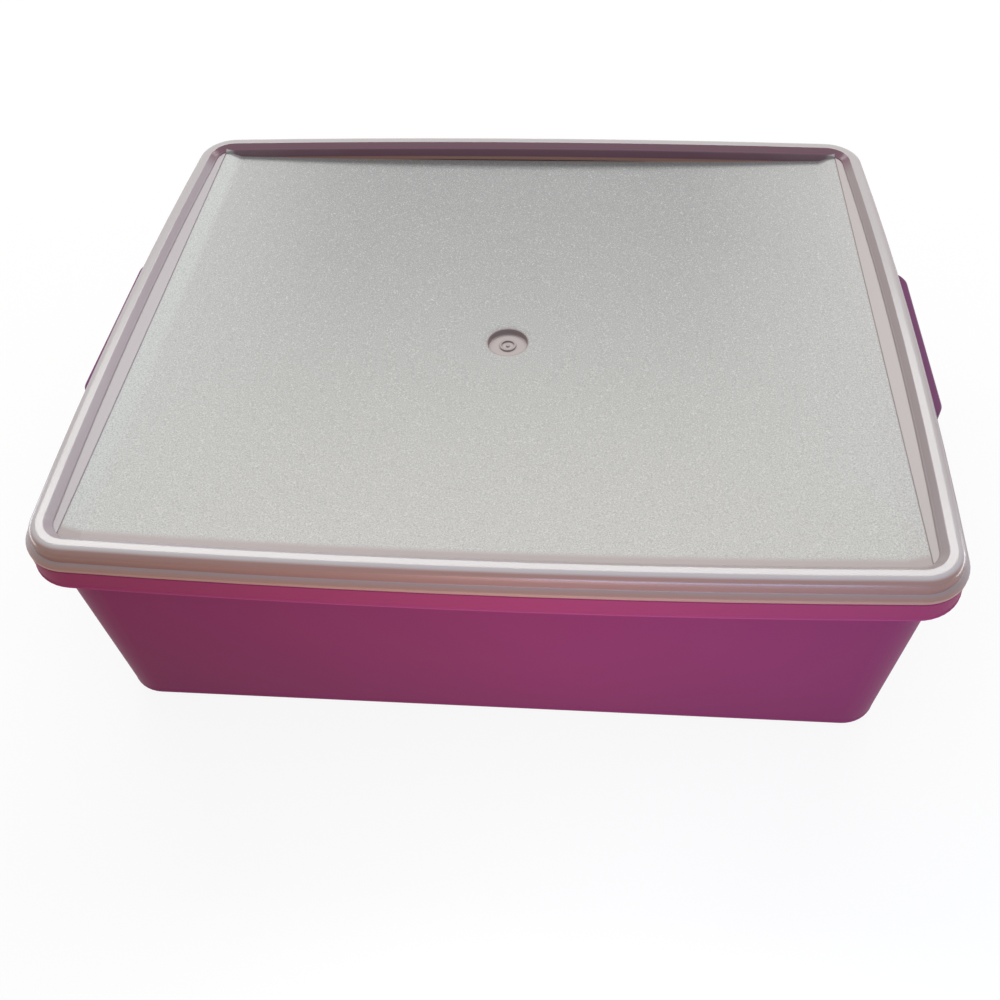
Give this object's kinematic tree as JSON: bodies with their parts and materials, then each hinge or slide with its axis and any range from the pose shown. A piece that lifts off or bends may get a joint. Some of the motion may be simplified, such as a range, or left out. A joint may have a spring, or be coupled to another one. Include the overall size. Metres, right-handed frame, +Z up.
{
  "type": "storage container",
  "caption": "Large shallow rectangular kitchen storage container: purple drafted tub with moulded side grips and a translucent push-on lid with a dished panel.",
  "frame": {"origin": "on the floor, under the middle of the tub", "axes": "+X along the long side towards the right grip, +Y away from the viewer, +Z up"},
  "size_m": [0.4184, 0.3416, 0.1281],
  "materials": {
    "tub_plastic": "satin fuchsia-purple moulded plastic, smooth",
    "lid_plastic": "milky translucent moulded plastic, finely grained panel, smooth rim"
  },
  "bodies": {
    "tub": {"tub": "tub_plastic"},
    "lid": {"lid": "lid_plastic"}
  },
  "joints": [
    {"name": "lid_lift", "type": "slide", "parent": "tub", "child": "lid", "axis": [0, 0, 1], "range_m": [0, 0.15]}
  ]
}
